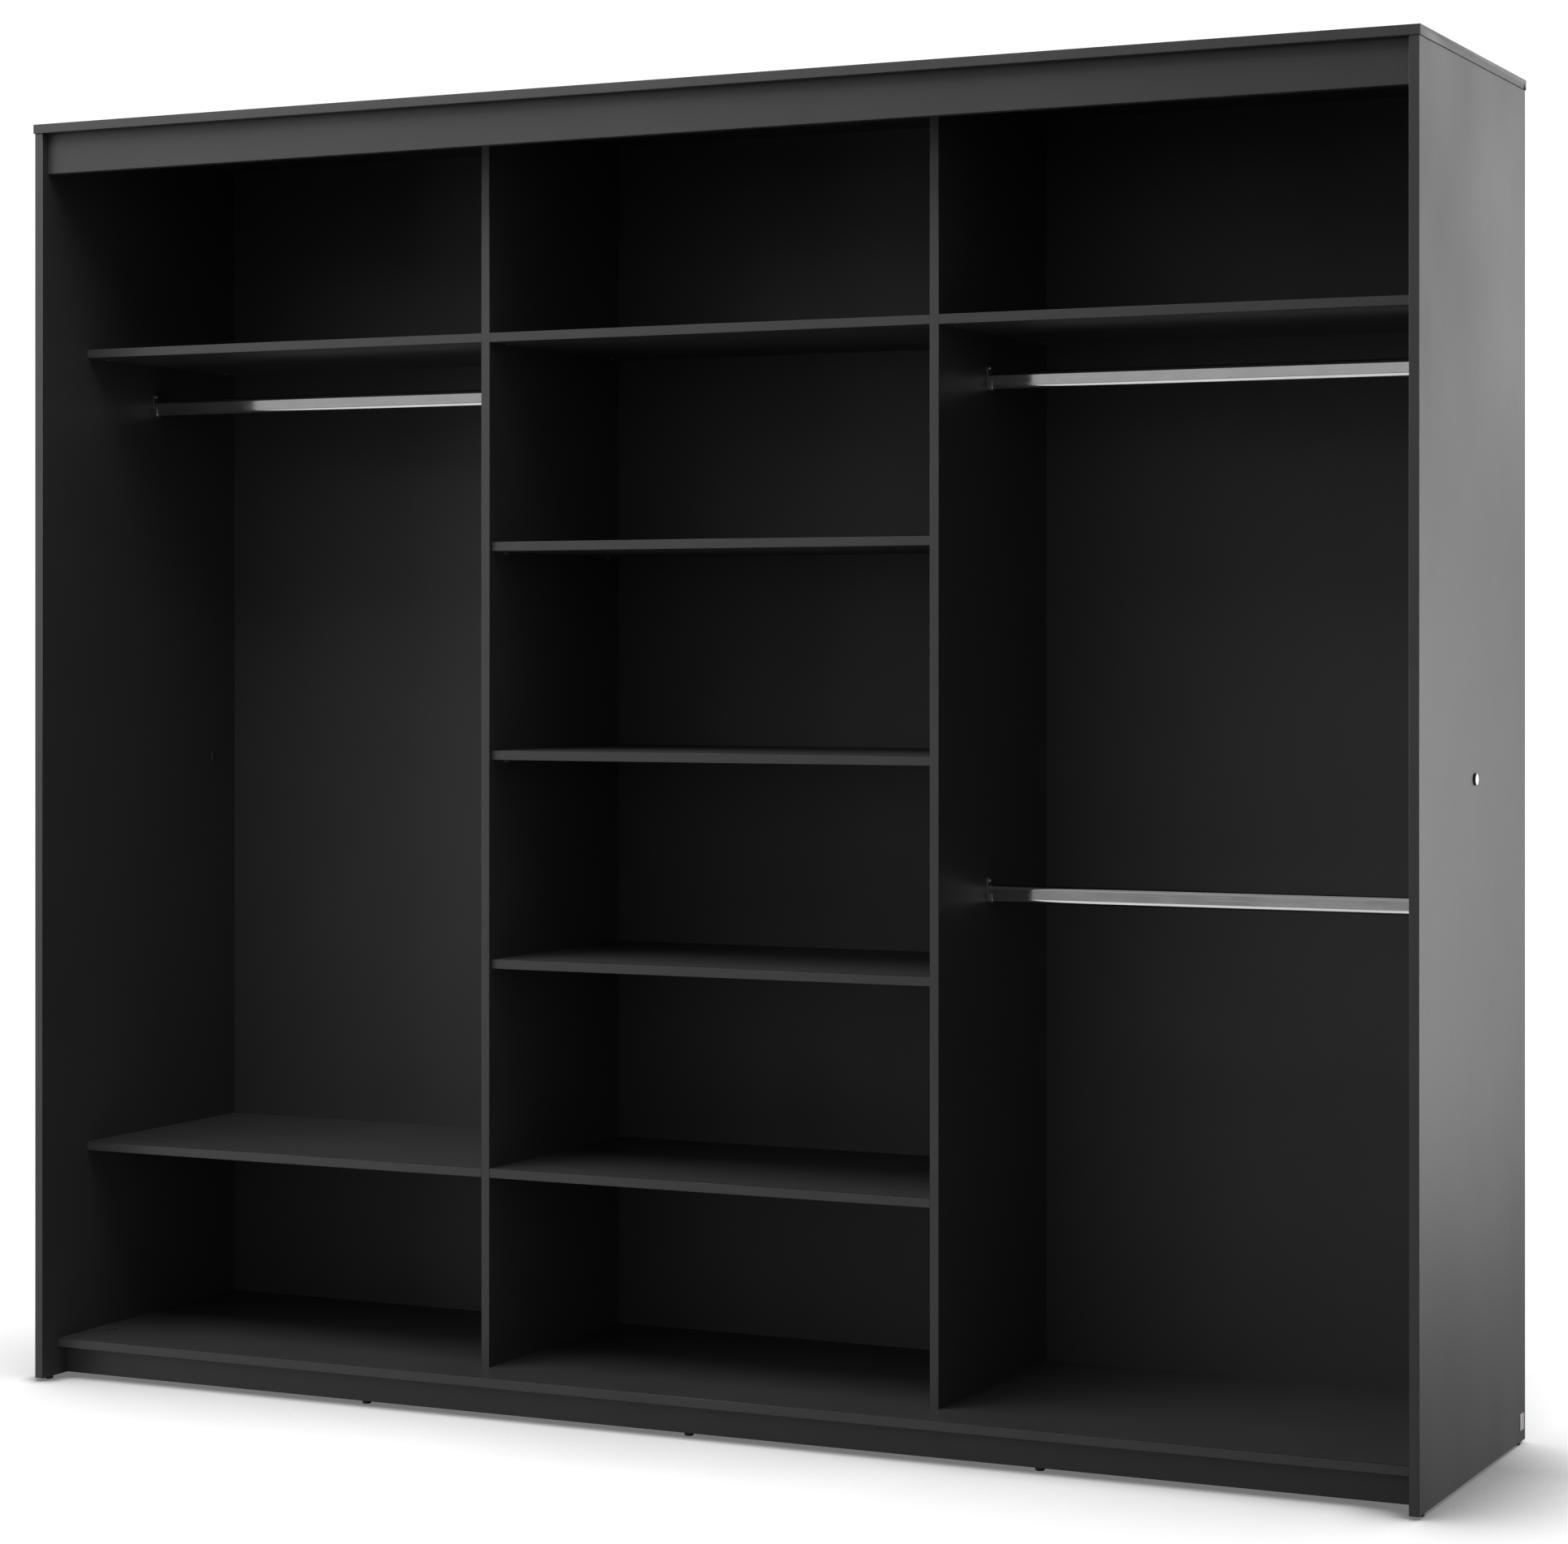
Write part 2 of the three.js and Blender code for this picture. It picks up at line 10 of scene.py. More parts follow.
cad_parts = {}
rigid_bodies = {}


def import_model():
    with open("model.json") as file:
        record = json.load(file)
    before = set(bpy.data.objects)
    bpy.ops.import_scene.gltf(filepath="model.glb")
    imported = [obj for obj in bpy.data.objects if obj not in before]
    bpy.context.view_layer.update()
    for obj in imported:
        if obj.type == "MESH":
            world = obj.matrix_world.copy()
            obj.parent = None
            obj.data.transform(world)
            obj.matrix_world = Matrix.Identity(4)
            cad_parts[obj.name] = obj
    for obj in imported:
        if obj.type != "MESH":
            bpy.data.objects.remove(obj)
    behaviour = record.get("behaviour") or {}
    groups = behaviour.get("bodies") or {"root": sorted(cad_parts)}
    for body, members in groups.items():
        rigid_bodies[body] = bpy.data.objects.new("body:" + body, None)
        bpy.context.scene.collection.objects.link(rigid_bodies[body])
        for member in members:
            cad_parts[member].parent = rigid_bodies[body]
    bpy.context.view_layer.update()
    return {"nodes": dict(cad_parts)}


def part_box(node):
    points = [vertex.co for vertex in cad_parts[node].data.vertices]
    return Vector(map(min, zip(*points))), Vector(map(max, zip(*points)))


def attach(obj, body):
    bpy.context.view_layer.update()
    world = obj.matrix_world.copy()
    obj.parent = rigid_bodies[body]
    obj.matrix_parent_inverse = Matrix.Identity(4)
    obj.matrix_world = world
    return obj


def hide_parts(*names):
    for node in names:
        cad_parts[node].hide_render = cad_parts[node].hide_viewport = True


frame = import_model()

NODES = frame["nodes"]
MM = 0.001

# ---- Where things are ----

LEFT_INNER_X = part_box("left_side_panel")[1].x
RIGHT_INNER_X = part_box("right_side_panel")[0].x
BASE_TOP_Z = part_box("base_panel")[1].z
BASE_FRONT_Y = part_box("base_panel")[0].y
REAR_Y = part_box("base_panel")[1].y
TOP_UNDERSIDE_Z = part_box("top_panel")[0].z

# ---- Node materials ----

RAMP_INPUTS = ("From Min", "From Max", "To Min", "To Max")

class Paint:
    """A node material under construction. Coordinates are the piece's own, in metres."""

    def __init__(self, name, roughness=0.5, metallic=0.0, specular=0.5):
        self.material = bpy.data.materials.new(name)
        self.material.use_nodes = True
        self.tree = self.material.node_tree
        self.surface = self.tree.nodes["Principled BSDF"]
        self.surface.inputs["Roughness"].default_value = roughness
        self.surface.inputs["Metallic"].default_value = metallic
        self.surface.inputs["Specular IOR Level"].default_value = specular
        self.place = self.node("ShaderNodeTexCoord").outputs["Object"]

    def node(self, kind, **settings):
        made = self.tree.nodes.new(kind)
        for key, value in settings.items():
            setattr(made, key, value)
        return made

    def set(self, made, name, value):
        """Links a socket, or sets it to a number or colour."""
        if isinstance(value, bpy.types.NodeSocket):
            self.tree.links.new(value, made.inputs[name])
        else:
            made.inputs[name].default_value = value

    def stretched(self, stretch):
        mapping = self.node("ShaderNodeMapping")
        self.set(mapping, "Vector", self.place)
        self.set(mapping, "Scale", stretch)
        return mapping.outputs["Vector"]

    def noise(self, scale, detail=2.0, rough=0.5, stretch=None):
        made = self.node("ShaderNodeTexNoise")
        self.set(made, "Vector", self.stretched(stretch) if stretch else self.place)
        self.set(made, "Scale", scale)
        self.set(made, "Detail", detail)
        self.set(made, "Roughness", rough)
        return made.outputs["Fac"]

    def cells(self, scale):
        """Voronoi cells: outputs Distance (from the middle of a cell) and Color (one to a cell)."""
        made = self.node("ShaderNodeTexVoronoi", feature="F1")
        self.set(made, "Vector", self.place)
        self.set(made, "Scale", scale)
        return made.outputs

    def remap(self, value, low, high, to_low, to_high):
        made = self.node("ShaderNodeMapRange")
        self.set(made, "Value", value)
        for name, number in zip(RAMP_INPUTS, (low, high, to_low, to_high)):
            self.set(made, name, number)
        return made.outputs["Result"]

    def math(self, operation, first, second):
        made = self.node("ShaderNodeMath", operation=operation)
        self.set(made, 0, first)
        self.set(made, 1, second)
        return made.outputs[0]

    def mix(self, factor, first, second, blend="MIX"):
        made = self.node("ShaderNodeMix", data_type="RGBA", blend_type=blend)
        self.set(made, 0, factor)
        self.set(made, 6, first)
        self.set(made, 7, second)
        return made.outputs[2]

    def bump(self, height, distance, strength=1.0):
        made = self.node("ShaderNodeBump")
        self.set(made, "Height", height)
        self.set(made, "Distance", distance)
        self.set(made, "Strength", strength)
        return made.outputs["Normal"]

    def finish(self, colour=None, roughness=None, normal=None):
        for name, value in (
            ("Base Color", colour),
            ("Roughness", roughness),
            ("Normal", normal),
        ):
            if value is not None:
                self.set(self.surface, name, value)
        return self.material


def shade(colour, factor=1.0):
    return (*(channel * factor for channel in colour), 1.0)


# Colours are linear light. Noise scales are features to the metre.
CHIPS_PER_METRE = 420.0
SPECKS_PER_METRE = 240.0
LINES_PER_METRE = 900.0
PLASTIC_GRAIN_DEPTH = 0.05 * MM
PORE_DEPTH = 0.4 * MM
FIBRE_DEPTH = 0.15 * MM
EVEN = (1.0, 1.0, 1.0)
LONG_LINES = (0.01, 1.0, 1.0)
UPRIGHT_LINES = (1.0, 1.0, 0.03)


def melamine(name, colour, roughness, pearls_per_metre, pearl_depth):
    """Melamine film: even colour, fine fleck, pearl-like relief, slightly uneven gloss."""
    p = Paint(name, roughness)
    cloud = p.remap(p.noise(7.0, 3.0), 0.3, 0.7, 0.0, 1.0)
    fleck = p.remap(p.noise(650.0, 2.0, 0.6), 0.35, 0.65, 0.0, 1.0)
    even = p.mix(cloud, shade(colour, 0.95), shade(colour, 1.05))
    flecked = p.mix(fleck, shade((0.93, 0.93, 0.93)), shade((1.07, 1.07, 1.07)))
    tone = p.mix(1.0, even, flecked, "MULTIPLY")
    wiped = p.remap(p.noise(3.5, 4.0, 0.55, (1.0, 1.0, 0.6)), 0.25, 0.75, -0.05, 0.05)
    grit = p.remap(p.noise(900.0, 1.0), 0.3, 0.7, roughness - 0.03, roughness + 0.03)
    relief = p.bump(p.noise(pearls_per_metre, 2.0, 0.55), pearl_depth)
    return p.finish(tone, p.math("ADD", wiped, grit), relief)


def chipboard(name):
    """Cut edge of a board that has no band: pale and dark chips with open pores."""
    p = Paint(name, 0.9, specular=0.2)
    chips = p.cells(CHIPS_PER_METRE)
    split = p.node("ShaderNodeSeparateColor")
    p.set(split, "Color", chips["Color"])
    wood = p.mix(split.outputs[0], shade((0.23, 0.15, 0.085)), shade((0.42, 0.30, 0.185)))
    dust = p.remap(p.noise(60.0, 3.0), 0.35, 0.65, 0.82, 1.1)
    pores = p.remap(chips["Distance"], 0.25, 0.6, 1.0, 0.45)
    tone = p.mix(1.0, wood, p.math("MULTIPLY", dust, pores), "MULTIPLY")
    return p.finish(tone, None, p.bump(pores, PORE_DEPTH, 0.8))


def hardboard(name):
    """Unpainted back of a thin fibreboard sheet: brown felted fibres with darker specks."""
    p = Paint(name, 0.8, specular=0.25)
    cloud = p.remap(p.noise(3.0, 3.0), 0.3, 0.7, 0.0, 1.0)
    fibre = p.remap(p.noise(420.0, 4.0, 0.7, (1.0, 1.0, 0.30)), 0.3, 0.7, 0.0, 1.0)
    brown = p.mix(cloud, shade((0.158, 0.094, 0.054)), shade((0.170, 0.102, 0.059)))
    felt = p.mix(fibre, shade((0.80, 0.78, 0.76)), shade((1.16, 1.17, 1.18)))
    tone = p.mix(1.0, brown, felt, "MULTIPLY")
    specks = p.remap(p.cells(SPECKS_PER_METRE)["Distance"], 0.05, 0.14, 0.60, 1.0)
    tone = p.mix(1.0, tone, specks, "MULTIPLY")
    gloss = p.remap(fibre, 0.0, 1.0, 0.72, 0.88)
    return p.finish(tone, gloss, p.bump(fibre, FIBRE_DEPTH, 0.6))


def metal(name, colour, roughness, stretch, depth, metallic=1.0):
    """Bare or plated metal with fine lines along its length and faint smudges."""
    p = Paint(name, roughness, metallic)
    lines = p.remap(p.noise(LINES_PER_METRE, 2.0, 0.6, stretch), 0.3, 0.7, 0.0, 1.0)
    smudge = p.remap(p.noise(22.0, 3.0), 0.35, 0.7, 0.0, 1.0)
    tone = p.mix(lines, shade(colour, 0.95), shade(colour, 1.04))
    tone = p.mix(1.0, tone, p.remap(smudge, 0.0, 1.0, 1.0, 0.94), "MULTIPLY")
    gloss = p.math(
        "ADD",
        p.remap(lines, 0.0, 1.0, roughness - 0.03, roughness + 0.03),
        p.remap(smudge, 0.0, 1.0, 0.0, 0.05),
    )
    return p.finish(tone, gloss, p.bump(lines, depth, 0.5))


def plastic(name, colour, roughness):
    """Moulded plastic with a fine spark-eroded grain."""
    p = Paint(name, roughness)
    grain = p.remap(p.noise(1800.0, 2.0, 0.6), 0.3, 0.7, 0.0, 1.0)
    dust = p.remap(p.noise(120.0, 3.0), 0.45, 0.75, 0.0, 1.0)
    tone = p.mix(dust, shade(colour, 0.95), shade(colour, 1.35))
    gloss = p.remap(grain, 0.0, 1.0, roughness - 0.06, roughness + 0.08)
    return p.finish(tone, gloss, p.bump(grain, PLASTIC_GRAIN_DEPTH))


FACE = melamine(
    "graphite_melamine",
    colour=(0.050, 0.050, 0.051),
    roughness=0.47,
    pearls_per_metre=520.0,
    pearl_depth=0.05 * MM,
)
BAND = melamine(
    "graphite_edge_band",
    colour=(0.070, 0.070, 0.071),
    roughness=0.42,
    pearls_per_metre=800.0,
    pearl_depth=0.03 * MM,
)
# The same graphite melamine as FACE, painted lighter: the fascia and plinth fronts carry it for the
# light that falls on them.
PAINTED_LIT_FACE = melamine(
    "graphite_front_melamine",
    colour=(0.060, 0.060, 0.061),
    roughness=0.47,
    pearls_per_metre=520.0,
    pearl_depth=0.05 * MM,
)
SHEET_FACE = melamine(
    "graphite_sheet",
    colour=(0.046, 0.046, 0.047),
    roughness=0.5,
    pearls_per_metre=380.0,
    pearl_depth=0.04 * MM,
)
RAW_EDGE = chipboard("raw_chipboard")
RAW_SHEET = hardboard("raw_hardboard")
CHROME = metal(
    "chrome_plate",
    colour=(0.62, 0.62, 0.63),
    roughness=0.07,
    stretch=LONG_LINES,
    depth=0.0006 * MM,
)
ZINC = metal(
    "zinc_casting",
    colour=(0.30, 0.30, 0.31),
    roughness=0.32,
    stretch=EVEN,
    depth=0.02 * MM,
)
STEEL = metal(
    "zinc_plated_steel",
    colour=(0.24, 0.24, 0.24),
    roughness=0.42,
    stretch=EVEN,
    depth=0.01 * MM,
)
ALUMINIUM = metal(
    "mill_aluminium",
    colour=(0.56, 0.57, 0.58),
    roughness=0.38,
    stretch=LONG_LINES,
    depth=0.01 * MM,
)
TAG_METAL = metal(
    "brushed_tag",
    colour=(0.58, 0.54, 0.54),
    roughness=0.42,
    stretch=UPRIGHT_LINES,
    depth=0.01 * MM,
    metallic=0.6,
)
POLISHED = metal(
    "polished_cap_face",
    colour=(0.95, 0.95, 0.95),
    roughness=0.10,
    stretch=EVEN,
    depth=0.002 * MM,
)
BLACK = plastic(
    "black_plastic",
    colour=(0.012, 0.012, 0.012),
    roughness=0.5,
)
COVER = plastic(
    "graphite_cover",
    colour=(0.045, 0.045, 0.046),
    roughness=0.5,
)
GREY_PLASTIC = plastic(
    "grey_plastic",
    colour=(0.075, 0.075, 0.075),
    roughness=0.45,
)
DARK_STEEL = metal(
    "blackened_screw",
    colour=(0.09, 0.09, 0.09),
    roughness=0.42,
    stretch=EVEN,
    depth=0.01 * MM,
)
PIN_METAL = metal(
    "nickel_pin",
    colour=(0.20, 0.20, 0.20),
    roughness=0.36,
    stretch=EVEN,
    depth=0.01 * MM,
)

# ---- Mesh tools ----

WELD = 1e-6
FLAT_ANGLE = math.radians(1.0)
ARRIS_ANGLE = math.radians(40.0)
SMOOTH_ANGLE = math.radians(38.0)
AREA_WEIGHT = 100
SCREW_SIDES = 32
TURNED_SIDES = 40
CAP_SIDES = 64


def merged(node):
    """The CAD solid with its corners joined and its flat faces whole."""
    bm = bmesh.new()
    bm.from_mesh(NODES[node].data)
    bmesh.ops.remove_doubles(bm, verts=bm.verts, dist=WELD)
    bmesh.ops.dissolve_limit(bm, angle_limit=FLAT_ANGLE, verts=bm.verts, edges=bm.edges)
    return bm


def soften(bm, width, steps=2, shortest=0.0):
    """Rounds the sharp arrises that are longer than shortest."""
    edges = [
        e
        for e in bm.edges
        if len(e.link_faces) == 2
        and e.calc_face_angle(0.0) > ARRIS_ANGLE
        and e.calc_length() > shortest
    ]
    bmesh.ops.bevel(
        bm,
        geom=edges,
        offset=width,
        offset_type="OFFSET",
        segments=steps,
        profile=0.5,
        affect="EDGES",
        clamp_overlap=True,
    )


def add_piece(name, bm, body, materials, pick=None, instead_of=(), sharp=None):
    """Makes the mesh an object that rides on its CAD body. pick(face) chooses a face's material."""
    bmesh.ops.recalc_face_normals(bm, faces=bm.faces)
    for face in bm.faces:
        face.smooth = True
        if pick is not None:
            face.material_index = pick(face)
    mesh = bpy.data.meshes.new(name)
    bm.to_mesh(mesh)
    bm.free()
    for material in materials:
        mesh.materials.append(material)
    if sharp is not None:
        mesh.set_sharp_from_angle(angle=sharp)
    piece = bpy.data.objects.new(name, mesh)
    bpy.context.scene.collection.objects.link(piece)
    weighted = piece.modifiers.new("flat_faces", "WEIGHTED_NORMAL")
    weighted.weight = AREA_WEIGHT
    weighted.keep_sharp = sharp is not None
    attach(piece, body)
    if instead_of:
        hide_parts(*instead_of)
    return piece


def refine(name, node, body, material, width, shortest=0.0):
    """A small CAD part with its edges rounded and its curved faces smooth."""
    bm = merged(node)
    soften(bm, width, shortest=shortest)
    return add_piece(name, bm, body, [material], instead_of=(node,), sharp=SMOOTH_ANGLE)


def frame_along(axis):
    """Rotation that turns +Z to the axis."""
    return Vector(axis).to_track_quat("Z", "Y").to_matrix().to_4x4()


def lathe(bm, profile, centre, axis, sides=TURNED_SIDES):
    """A closed turned body; profile is (radius, height) from the foot to the top, in metres."""
    place = Matrix.Translation(centre) @ frame_along(axis)
    rings = []
    for radius, height in profile:
        if radius == 0.0:
            rings.append([bm.verts.new(place @ Vector((0.0, 0.0, height)))])
            continue
        rings.append(
            [
                bm.verts.new(
                    place
                    @ Vector((radius * math.cos(a), radius * math.sin(a), height))
                )
                for a in (2.0 * math.pi * i / sides for i in range(sides))
            ]
        )
    for lower, upper in zip(rings, rings[1:]):
        for i in range(sides):
            j = (i + 1) % sides
            if len(lower) == 1:
                bm.faces.new((lower[0], upper[j], upper[i]))
            elif len(upper) == 1:
                bm.faces.new((lower[i], lower[j], upper[0]))
            else:
                bm.faces.new((lower[i], lower[j], upper[j], upper[i]))
    return rings


def scaled(profile, radius, rise):
    return [(radius * across, rise * up) for across, up in profile]


def cross_outline(arm, half):
    """Corners of a plus shape, in order."""
    quarter = [(arm, -half), (arm, half), (half, half)]
    corners = []
    for turn in range(4):
        c, s = round(math.cos(turn * math.pi / 2)), round(math.sin(turn * math.pi / 2))
        corners += [(c * u - s * v, s * u + c * v) for u, v in quarter]
    return corners


HEAD_PROFILE = ((0.0, 0.0), (1.0, 0.0), (1.0, 0.35), (0.93, 0.75), (0.78, 1.0))
CROSS_ARM, CROSS_HALF_WIDTH, CROSS_TAPER = 0.50, 0.13, 0.72


def cross_head(bm, centre, axis, radius, height):
    """A screw head with a cross recess: domed edge, flat middle and a tapered cross cut into it."""
    place = Matrix.Translation(centre) @ frame_along(axis)
    profile = scaled(HEAD_PROFILE, radius, height)
    rim = lathe(bm, profile, centre, axis, SCREW_SIDES)[-1]
    mouth = cross_outline(CROSS_ARM * radius, CROSS_HALF_WIDTH * radius)
    cut = min(0.8 * height, 0.6 * radius)
    levels = []
    for scale, level in ((1.0, height), (CROSS_TAPER, height - cut)):
        levels.append(
            [bm.verts.new(place @ Vector((scale * u, scale * v, level))) for u, v in mouth]
        )
    top, bottom = levels
    count = len(top)
    for i in range(count):
        j = (i + 1) % count
        bm.faces.new((top[i], top[j], bottom[j], bottom[i]))
    bm.faces.new(bottom)
    loops = []
    for ring in (rim, top):
        for i in range(len(ring)):
            pair = (ring[i], ring[(i + 1) % len(ring)])
            loops.append(bm.edges.get(pair) or bm.edges.new(pair))
    bmesh.ops.triangle_fill(bm, edges=loops, use_beauty=True)


# ---- Boards ----

ARRIS = 0.4 * MM
LONG_EDGE = 12 * MM
SHEET_ARRIS = 0.2 * MM
FACE_ON = 0.8
SHEET_FACE_ON = 0.5


def axis_of(vector):
    """Index and sign of the axis that a direction mostly follows."""
    index = max(range(3), key=lambda i: abs(vector[i]))
    return index, 1 if vector[index] > 0 else -1


def board(name, node, body, banded, face_material=FACE):
    """A melamine-faced board. banded lists the (axis, sign) of the edges that carry a band."""
    low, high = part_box(node)
    thin = min(range(3), key=lambda i: high[i] - low[i])

    def pick(face):
        if abs(face.normal[thin]) > FACE_ON:
            return 0
        sideways = face.normal.copy()
        sideways[thin] = 0.0
        return 1 if axis_of(sideways) in banded else 2

    bm = merged(node)
    soften(bm, ARRIS, shortest=LONG_EDGE)
    finishes = [face_material, BAND, RAW_EDGE]
    add_piece(name, bm, body, finishes, pick, (node,))


FRONT = (1, -1)
LEFT, RIGHT = (0, -1), (0, 1)
UNDER = (2, -1)

board("left_side_board", "left_side_panel", "carcass", {FRONT, UNDER})
board("right_side_board", "right_side_panel", "carcass", {FRONT, UNDER})
board("top_board", "top_panel", "carcass", {FRONT, LEFT, RIGHT})
board("base_board", "base_panel", "carcass", {FRONT})
board("left_divider_board", "left_divider", "carcass", {FRONT})
board("right_divider_board", "right_divider", "carcass", {FRONT})
# The fascia and plinth fronts use the melamine painted lighter for the light on them.
board("fascia_board", "top_fascia", "carcass", {UNDER}, PAINTED_LIT_FACE)
board("front_plinth_board", "plinth_front", "carcass", {UNDER}, PAINTED_LIT_FACE)
board("rear_plinth_board", "plinth_rear", "carcass", set())
for side in ("left", "centre", "right"):
    board(f"bearer_board_{side}", f"base_bearer_{side}", "carcass", set())

FIXED_SHELVES = (
    "left_top_shelf",
    "left_bottom_shelf",
    "centre_top_shelf",
    "centre_bottom_shelf",
    "right_top_shelf",
)
for shelf in FIXED_SHELVES:
    board(f"{shelf}_board", shelf, "carcass", {FRONT})

LOOSE_SHELVES = ("upper", "middle", "lower")
for level in LOOSE_SHELVES:
    board(f"{level}_loose_board", f"loose_shelf_{level}", f"{level}_shelf", {FRONT})

# ---- Back sheets ----


def back_sheet(name, node):
    """Thin sheet, coloured on the face towards the bays and unpainted behind."""
    bm = merged(node)
    soften(bm, SHEET_ARRIS)
    add_piece(
        name,
        bm,
        "carcass",
        [SHEET_FACE, RAW_SHEET],
        lambda face: 0 if face.normal.y < -SHEET_FACE_ON else 1,
        (node,),
    )


for side in ("left", "centre", "right"):
    back_sheet(f"back_sheet_{side}", f"back_panel_{side}")
for side in ("left", "right"):
    refine(
        f"joint_strip_{side}",
        f"back_joint_strip_{side}",
        "carcass",
        BLACK,
        0.15 * MM,
    )

# ---- Garment rails ----

RAIL_ARC_STEPS = 20
RAIL_WALL = 1.0 * MM


def stadium(half_width, half_height):
    """Oval section in (Y, Z): two flat sides joined by half circles above and below."""
    bend = half_height - half_width
    points = []
    for sign, start in ((1, 0.0), (-1, math.pi)):
        for i in range(RAIL_ARC_STEPS + 1):
            a = start + math.pi * i / RAIL_ARC_STEPS
            points.append(
                (half_width * math.cos(a), sign * bend + half_width * math.sin(a))
            )
    return points


def rail(name, node):
    """Plated oval tube, open at its ends."""
    low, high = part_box(node)
    centre = (low + high) / 2
    half_width, half_height = (high.y - low.y) / 2, (high.z - low.z) / 2
    sections = (
        stadium(half_width, half_height),
        stadium(half_width - RAIL_WALL, half_height - RAIL_WALL),
    )
    bm = bmesh.new()
    rings = [
        [
            [bm.verts.new((x, centre.y + v, centre.z + w)) for v, w in section]
            for x in (low.x, high.x)
        ]
        for section in sections
    ]
    outer, inner = rings
    count = len(outer[0])
    for i in range(count):
        j = (i + 1) % count
        bm.faces.new((outer[0][i], outer[0][j], outer[1][j], outer[1][i]))
        bm.faces.new((inner[0][j], inner[0][i], inner[1][i], inner[1][j]))
        bm.faces.new((outer[0][j], outer[0][i], inner[0][i], inner[0][j]))
        bm.faces.new((outer[1][i], outer[1][j], inner[1][j], inner[1][i]))
    add_piece(
        name, bm, "carcass", [CHROME], instead_of=(node,), sharp=SMOOTH_ANGLE
    )


SUPPORT_PLATE = 2.5 * MM
LUG_HALF = 7.5 * MM
SCREW_RADIUS = 3.6 * MM
SCREW_RISE = 2.2 * MM
HOLDER_ARRIS = 0.35 * MM
HOLDER_SHORTEST_EDGE = 0.9 * MM

for where in ("left", "right_upper", "right_lower"):
    rail(f"rail_tube_{where}", f"garment_rail_{where}")
    for end, facing in (("a", 1), ("b", -1)):
        node = f"rail_support_{where}_{end}"
        refine(
            f"rail_holder_{where}_{end}",
            node,
            "carcass",
            ZINC,
            HOLDER_ARRIS,
            HOLDER_SHORTEST_EDGE,
        )
        low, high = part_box(node)
        wall = low.x if facing > 0 else high.x
        seat = Vector(
            (wall + facing * SUPPORT_PLATE, (low.y + high.y) / 2, high.z - LUG_HALF)
        )
        bm = bmesh.new()
        cross_head(bm, seat, (facing, 0, 0), SCREW_RADIUS, SCREW_RISE)
        add_piece(
            f"rail_screw_{where}_{end}",
            bm,
            "carcass",
            [STEEL],
            sharp=SMOOTH_ANGLE,
        )

# ---- Shelf pins, track, feet, caps and tag ----

FITTING_ARRIS = 0.3 * MM
PIN_SHORTEST_EDGE = 1.5 * MM
FOOT_SHORTEST_EDGE = 1.0 * MM

for level in LOOSE_SHELVES:
    for side in ("left", "right"):
        for end in ("front", "rear"):
            label = f"{level}_{side}_{end}"
            refine(
                f"pin_{label}",
                f"shelf_pin_{label}",
                "carcass",
                PIN_METAL,
                FITTING_ARRIS,
                PIN_SHORTEST_EDGE,
            )

refine(
    "top_track_section",
    "door_top_track",
    "carcass",
    ALUMINIUM,
    FITTING_ARRIS,
)

GLIDES = [f"side_glide_{side}_{end}" for side in ("left", "right") for end in ("front", "rear")]
GLIDES += [
    f"plinth_glide_{end}_{side}"
    for end in ("front", "rear")
    for side in ("left", "centre", "right")
]
for node in GLIDES:
    refine(
        f"{node}_foot",
        node,
        "carcass",
        BLACK,
        FITTING_ARRIS,
        FOOT_SHORTEST_EDGE,
    )


# Profiles are shares of the radius and of the height.
CAP_PROFILE = (
    (0.0, 0.0),
    (1.0, 0.0),
    (1.0, 0.88),
    (0.985, 1.0),
    (0.965, 1.0),
    (0.955, 0.94),
    (0.945, 0.94),
    (0.925, 0.99),
    (0.50, 0.98),
    (0.0, 0.975),
)
POLISHED_SHARE = 0.94


def side_cap(name, node, outward):
    """Round cap: black collar with a slightly dished polished face."""
    low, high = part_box(node)
    centre = (low + high) / 2
    wall = low.x if outward > 0 else high.x
    radius, rise = (high.y - low.y) / 2, high.x - low.x
    profile = scaled(CAP_PROFILE, radius, rise)
    bm = bmesh.new()
    lathe(bm, profile, Vector((wall, centre.y, centre.z)), (outward, 0, 0), CAP_SIDES)

    def pick(part):
        middle = part.calc_center_median()
        off_axis = math.hypot(middle.y - centre.y, middle.z - centre.z)
        on_top = abs(middle.x - wall) > rise / 2
        return 1 if on_top and off_axis < POLISHED_SHARE * radius else 0

    finishes = [BLACK, POLISHED]
    add_piece(name, bm, "carcass", finishes, pick, (node,), SMOOTH_ANGLE)


side_cap("round_cap_left", "side_cap_left", -1)
side_cap("round_cap_right", "side_cap_right", 1)
refine("blank_tag", "side_tag_plate", "carcass", TAG_METAL, FITTING_ARRIS)

# ---- Joining fittings that show ----

CONNECTOR_RADIUS = 10 * MM
CONNECTOR_RISE = 0.8 * MM
CONNECTOR_FLOOR = 0.35
CONNECTOR_PROFILE = (
    (0.0, 0.0),
    (1.0, 0.0),
    (1.0, 0.5),
    (0.96, 1.0),
    (0.86, 1.0),
    (0.83, 0.45),
    (0.50, 0.45),
    (0.48, CONNECTOR_FLOOR),
    (0.0, CONNECTOR_FLOOR),
)
CONNECTOR_SCREW_RADIUS = 4.2 * MM
CONNECTOR_SCREW_RISE = 1.6 * MM
CONNECTOR_INSET = 11 * MM
CONNECTOR_FRONT = 47 * MM
CONNECTOR_REAR = 45 * MM


